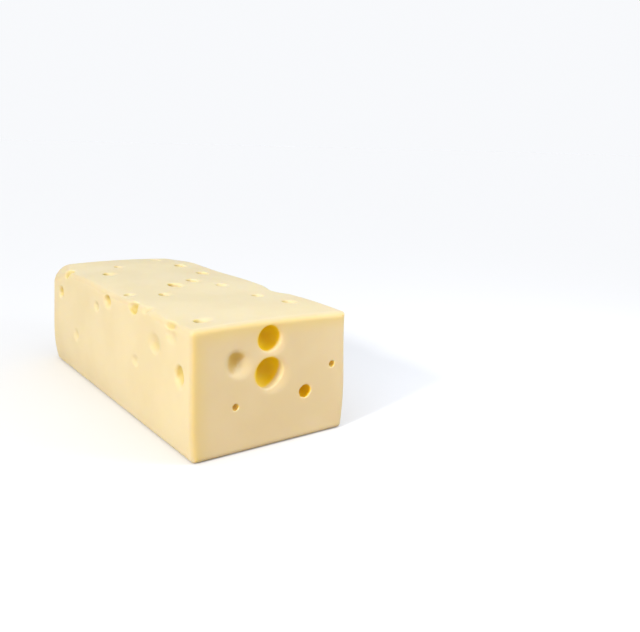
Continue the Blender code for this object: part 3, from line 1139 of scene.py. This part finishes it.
# The two near lights: their place, their size, their share of the power and their tint,
# and the height of the point on the cut end that they face
NEAR_LIGHTS = {
    "near left": (Vector((-0.55, -0.37, 0.15)), 0.3, 0.64, KEY_TINT),
    "near right": (Vector((0.35, -0.45, 0.30)), 0.25, 1.02, FILL_TINT),
}
NEAR_LIGHTS_FACE = 0.05

FLOOR_REACH = 60.0


def make_camera(looks):
    """A camera where the photographer stood."""
    turn, down = CAMERA_TURN, CAMERA_DOWN
    ahead = Vector((math.sin(turn) * math.cos(down), math.cos(turn) * math.cos(down), -math.sin(down)))
    right = Vector((math.cos(turn), -math.sin(turn), 0.0))
    up = right.cross(ahead)
    level = Matrix((right, up, -ahead)).transposed()
    data = bpy.data.cameras.new("camera")
    data.lens = looks.lens
    data.sensor_width = CAMERA_FILM
    data.clip_start = CAMERA_NEAREST
    camera = bpy.data.objects.new("camera", data)
    bpy.context.scene.collection.objects.link(camera)
    roll = Matrix.Rotation(CAMERA_ROLL, 3, "Z")
    camera.matrix_world = Matrix.Translation(CAMERA_PLACE) @ (level @ roll).to_4x4()
    bpy.context.scene.camera = camera


def make_light(name, side, softness, power, colour):
    """A far, soft light that shines from a side."""
    data = bpy.data.lights.new(name, "SUN")
    data.angle = softness
    data.energy = power
    data.color = colour
    light = bpy.data.objects.new(name, data)
    bpy.context.scene.collection.objects.link(light)
    light.rotation_euler = (-Vector(side)).to_track_quat("-Z", "Y").to_euler()


def make_panel(name, place, target, size, power, colour):
    """A square soft light at place, which faces target and isn't seen itself."""
    data = bpy.data.lights.new(name, "AREA")
    data.size = size
    data.energy = power
    data.color = colour
    light = bpy.data.objects.new(name, data)
    bpy.context.scene.collection.objects.link(light)
    light.location = place
    light.rotation_euler = (target - place).to_track_quat("-Z", "Y").to_euler()
    light.visible_camera = False


def floor_material(looks):
    """A pale floor, whose light on the block is dimmer and warmer than it looks itself."""
    material = bpy.data.materials.new("floor")
    material.use_nodes = True
    tree = Tree(material.node_tree)
    tree.tree.nodes.clear()
    thrown = tree.add("ShaderNodeBsdfDiffuse", {}, {"Color": (*looks.bounce, 1)})
    shown = tree.add("ShaderNodeBsdfDiffuse", {}, {"Color": (*looks.floor, 1)})
    seen = tree.add("ShaderNodeLightPath", {}, {}, 0)
    both = tree.add("ShaderNodeMixShader", {}, {0: seen, 1: thrown, 2: shown})
    leave = tree.tree.nodes.new("ShaderNodeOutputMaterial")
    tree.tree.links.new(both.socket, leave.inputs["Surface"])
    return material


def lit_floor(looks):
    """The colour that the far floor shows, so that what lies past its end looks the same."""
    colour = []
    for floor, key_tint, sky_tint in zip(looks.floor, KEY_TINT, SKY_TINT):
        suns = looks.key * key_tint * KEY_SIDE.normalized().z + looks.overhead * sky_tint
        colour.append(floor * (looks.sky * sky_tint + suns / math.pi))
    return colour


class CHEESE_OT_stage(bpy.types.Operator):
    """Makes the pale floor, the soft studio light and the camera"""

    bl_idname = "cheese.stage"
    bl_label = "Studio"

    def execute(self, context):
        looks = context.scene.cheese_stage
        bm = bmesh.new()
        bmesh.ops.create_grid(bm, x_segments=1, y_segments=1, size=FLOOR_REACH)
        mesh = bpy.data.meshes.new("floor")
        bm.to_mesh(mesh)
        bm.free()
        mesh.materials.append(floor_material(looks))
        floor = new_object("floor", mesh)
        world = bpy.data.worlds.new("studio")
        world.use_nodes = True
        tree = Tree(world.node_tree)
        tree.tree.nodes.clear()
        sky = tree.add("ShaderNodeBackground", {}, {"Color": (*SKY_TINT, 1), "Strength": looks.sky})
        even = tree.add("ShaderNodeBackground", {}, {"Color": (*lit_floor(looks), 1)})
        seen = tree.add("ShaderNodeLightPath", {}, {}, 0)
        both = tree.add("ShaderNodeMixShader", {}, {0: seen, 1: sky, 2: even})
        leave = tree.tree.nodes.new("ShaderNodeOutputWorld")
        tree.tree.links.new(both.socket, leave.inputs["Surface"])
        context.scene.world = world
        context.scene.view_settings.view_transform = "Standard"
        make_light("key", KEY_SIDE, looks.softness, looks.key, KEY_TINT)
        make_light("overhead", Vector((0.0, 0.0, 1.0)), OVERHEAD_ANGLE, looks.overhead, SKY_TINT)
        cut_end = Vector((0.0, BOX_LOW.y, NEAR_LIGHTS_FACE))
        for name, (place, size, share, tint) in NEAR_LIGHTS.items():
            make_panel(name, place, cut_end, size, looks.near * share, tint)
        make_camera(looks)
        return {"FINISHED"}


class CHEESE_PT_panel(bpy.types.Panel):
    """The block's sizes and looks, and the buttons that make it"""

    bl_label = "Swiss Cheese Block"
    bl_idname = "CHEESE_PT_panel"
    bl_space_type = "VIEW_3D"
    bl_region_type = "UI"
    bl_category = "Cheese"

    def draw(self, context):
        scene = context.scene
        groups = (scene.cheese_loaf, scene.cheese_looks, scene.cheese_stage)
        for group, button in zip(groups, (None, "cheese.block", "cheese.stage")):
            box = self.layout.box()
            for name in group.__annotations__:
                box.prop(group, name)
            if button:
                box.operator(button)


GROUPS = {"cheese_loaf": LoafSizes, "cheese_looks": CheeseLooks, "cheese_stage": StageLooks}
CLASSES = (*GROUPS.values(), CHEESE_OT_block, CHEESE_OT_stage, CHEESE_PT_panel)


def register():
    for made in CLASSES:
        bpy.utils.register_class(made)
    for name, group in GROUPS.items():
        setattr(bpy.types.Scene, name, PointerProperty(type=group))


def unregister():
    for name in GROUPS:
        delattr(bpy.types.Scene, name)
    for made in reversed(CLASSES):
        bpy.utils.unregister_class(made)


def main():
    register()
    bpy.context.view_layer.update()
    bpy.ops.cheese.block()
    bpy.ops.cheese.stage()


if __name__ == "__main__":
    main()
